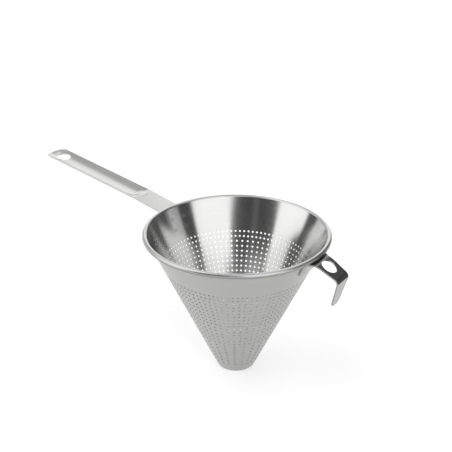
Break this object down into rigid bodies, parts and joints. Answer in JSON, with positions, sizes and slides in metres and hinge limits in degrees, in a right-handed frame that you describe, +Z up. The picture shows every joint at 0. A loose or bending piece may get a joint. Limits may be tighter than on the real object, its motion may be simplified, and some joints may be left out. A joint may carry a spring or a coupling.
{
  "type": "chinois strainer",
  "caption": "Conical fine strainer of welded stainless sheet, with a rolled rim, a long channelled strap handle and a strap hook opposite it.",
  "frame": {"origin": "centre of the rolled rim, at the middle of its bead's height", "axes": "+Z up along the cone's axis, out of its open mouth; -X along the handle, from the rim to the handle's free end; the hook is at the +X side, 9.6 degrees round towards +Y"},
  "size_m": [0.3869, 0.18, 0.1554],
  "materials": {
    "bowl_steel": "bright and turned inside, satin outside",
    "handle_steel": "satin, brushed along the strap",
    "hook_steel": "satin, brushed along the strap",
    "weld_steel": "spot weld, pressed flat"
  },
  "bodies": {
    "root": {"bowl": "bowl_steel", "handle": "handle_steel", "hook": "hook_steel", "handle_welds": "weld_steel", "hook_welds": "weld_steel"}
  },
  "joints": []
}
